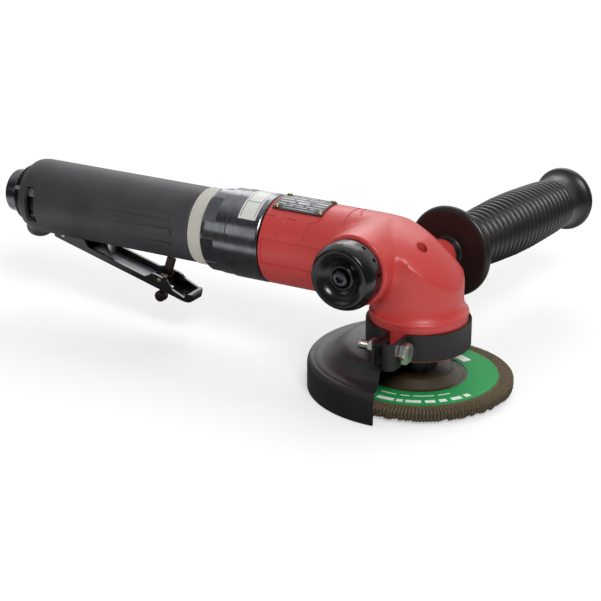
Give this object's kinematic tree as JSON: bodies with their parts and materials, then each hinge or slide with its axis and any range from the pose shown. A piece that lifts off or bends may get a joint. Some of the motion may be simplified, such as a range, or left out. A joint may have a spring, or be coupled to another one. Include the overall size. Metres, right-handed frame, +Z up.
{
  "type": "pneumatic angle grinder",
  "caption": "Air-driven angle grinder with a depressed-centre grinding wheel under a swivelling guard, a throttle lever with safety lock, and a side handle.",
  "frame": {"origin": "centre of the spindle's lower end face", "axes": "+Z up the spindle, +X over the front of the head with the motor along -X, +Y along the side handle"},
  "size_m": [0.3056, 0.2264, 0.0914],
  "materials": {
    "red_paint": "satin",
    "black_composite": "matt",
    "black_steel": "satin",
    "steel": "satin",
    "bearing_steel": "polished",
    "aluminium": "satin",
    "cast_iron": "machined",
    "brass": "satin",
    "zinc": "zinc plated",
    "fibre": "pressed fibre",
    "rubber": "moulded",
    "plastic": "laminated",
    "abrasive": "resin-bonded grit",
    "paper": "printed paper"
  },
  "bodies": {
    "housing": {"head_housing": "red_paint", "bearing_retainer": "black_steel", "lower_bearing_outer": "bearing_steel", "lower_bearing_balls": "steel", "upper_bearing": "brass", "name_plate": "aluminium", "plate_rivet_1": "brass", "plate_rivet_2": "brass", "plate_rivet_3": "brass", "plate_rivet_4": "brass", "cylinder_liner": "cast_iron", "front_end_plate": "cast_iron", "rear_end_plate": "cast_iron", "front_bearing_outer": "bearing_steel", "front_bearing_balls": "steel", "rear_bearing_outer": "bearing_steel", "rear_bearing_balls": "steel", "clamp_collar": "black_steel", "fibre_ring": "fibre", "throttle_housing": "aluminium", "handle_grip": "black_composite", "inlet_bushing": "black_steel", "inlet_screen": "brass", "lever_pin": "steel", "valve_seat": "brass", "valve_cap": "brass", "grease_plug": "steel", "exhaust_cap": "black_steel", "exhaust_cap_screw": "steel", "side_handle_grip": "rubber", "side_handle_stud": "steel"},
    "spindle": {"spindle": "steel", "bevel_gear": "steel", "lower_bearing_inner": "bearing_steel", "wheel_flange": "black_steel", "grinding_wheel": "abrasive", "wheel_label": "paper", "flange_nut": "steel"},
    "rotor": {"rotor": "steel", "vane_1": "plastic", "vane_2": "plastic", "vane_3": "plastic", "vane_4": "plastic", "bevel_pinion": "steel", "rear_bearing_inner": "bearing_steel", "front_bearing_inner": "bearing_steel"},
    "lever": {"throttle_lever": "black_steel", "lock_lever_pin": "zinc", "lock_spring": "steel"},
    "lock": {"lock_lever": "cast_iron"},
    "valve": {"valve_plunger": "steel", "throttle_valve": "brass", "valve_spring": "steel"},
    "regulator": {"regulator_ring": "black_steel"},
    "guard": {"wheel_guard": "black_steel", "guard_clamp_band": "black_steel", "guard_clamp_bolt": "zinc", "guard_clamp_nut": "zinc"}
  },
  "joints": [
    {"name": "spindle_spin", "type": "hinge", "parent": "housing", "child": "spindle", "pos_m": [0, 0, 0], "axis": [0, 0, 1], "continuous": true},
    {"name": "rotor_spin", "type": "hinge", "parent": "housing", "child": "rotor", "pos_m": [-0.07, 0, 0.0632], "axis": [1, 0, 0], "continuous": true},
    {"name": "throttle_press", "type": "hinge", "parent": "housing", "child": "lever", "pos_m": [-0.219, 0, 0.0444], "axis": [0, -1, 0], "range_deg": [0, 4.5], "stiffness_Nm_per_rad": 2, "springref_deg": -28.65},
    {"name": "lock_fold", "type": "hinge", "parent": "lever", "child": "lock", "pos_m": [-0.155, 0, 0.029], "axis": [0, 1, 0], "range_deg": [0, 45]},
    {"name": "valve_lift", "type": "slide", "parent": "housing", "child": "valve", "axis": [0, 0, 1], "range_m": [0, 0.0023], "deforming": ["valve_spring"]},
    {"name": "regulator_turn", "type": "hinge", "parent": "housing", "child": "regulator", "pos_m": [-0.24, 0, 0.0632], "axis": [1, 0, 0], "range_deg": [0, 90]},
    {"name": "guard_swivel", "type": "hinge", "parent": "housing", "child": "guard", "pos_m": [0, 0, 0.028], "axis": [0, 0, 1], "range_deg": [-90, 90]}
  ],
  "couplings": [
    {"joint": "rotor_spin", "follows": "spindle_spin", "ratio": -1.4615},
    {"joint": "lock_fold", "follows": "throttle_press", "ratio": 10},
    {"joint": "valve_lift", "follows": "throttle_press", "m_per_rad": 0.0289}
  ]
}
